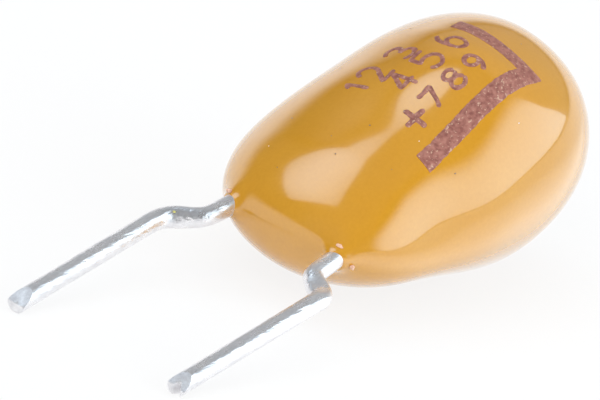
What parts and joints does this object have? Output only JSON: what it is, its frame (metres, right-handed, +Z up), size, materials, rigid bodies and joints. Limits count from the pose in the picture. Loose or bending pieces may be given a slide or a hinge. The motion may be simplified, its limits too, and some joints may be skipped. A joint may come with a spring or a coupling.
{
  "type": "dipped radial tantalum capacitor",
  "caption": "Egg-shaped resin-dipped radial capacitor lying on its side, with two straight leads jogged outwards, a printed polarity bar, and the sintered slug and its joints inside.",
  "frame": {"origin": "on the surface that the part lies on, under the middle of its bounding box", "axes": "+X along the part, from the lead tips towards the dome, level; +Y across the part towards the negative lead; +Z up. The part's own axis rises 13.1 degrees from the lead tips to the dome."},
  "size_m": [0.022, 0.0086, 0.0081],
  "materials": {
    "resin": "glossy dipped epoxy, ochre yellow",
    "tantalum_pellet": "sintered, dull dark grey",
    "manganese_dioxide": "matt black, slightly rough",
    "graphite": "dull dark grey, faint sheen",
    "silver_paint": "matt painted silver",
    "tantalum_wire": "drawn wire, blue-grey",
    "washer_plastic": "white, waxy",
    "weld_metal": "rough weld bead",
    "tinned_wire": "bright tinned wire with fine draw marks",
    "solder": "satin solder",
    "ink": "red-brown printed ink, slightly speckled"
  },
  "bodies": {
    "root": {"resin_coat": "resin", "anode_pellet": "tantalum_pellet", "manganese_layer": "manganese_dioxide", "graphite_layer": "graphite", "silver_layer": "silver_paint", "riser_wire": "tantalum_wire", "riser_washer": "washer_plastic", "riser_weld": "weld_metal", "positive_lead": "tinned_wire", "negative_lead": "tinned_wire", "cathode_solder": "solder", "polarity_bar": "ink"}
  },
  "joints": []
}
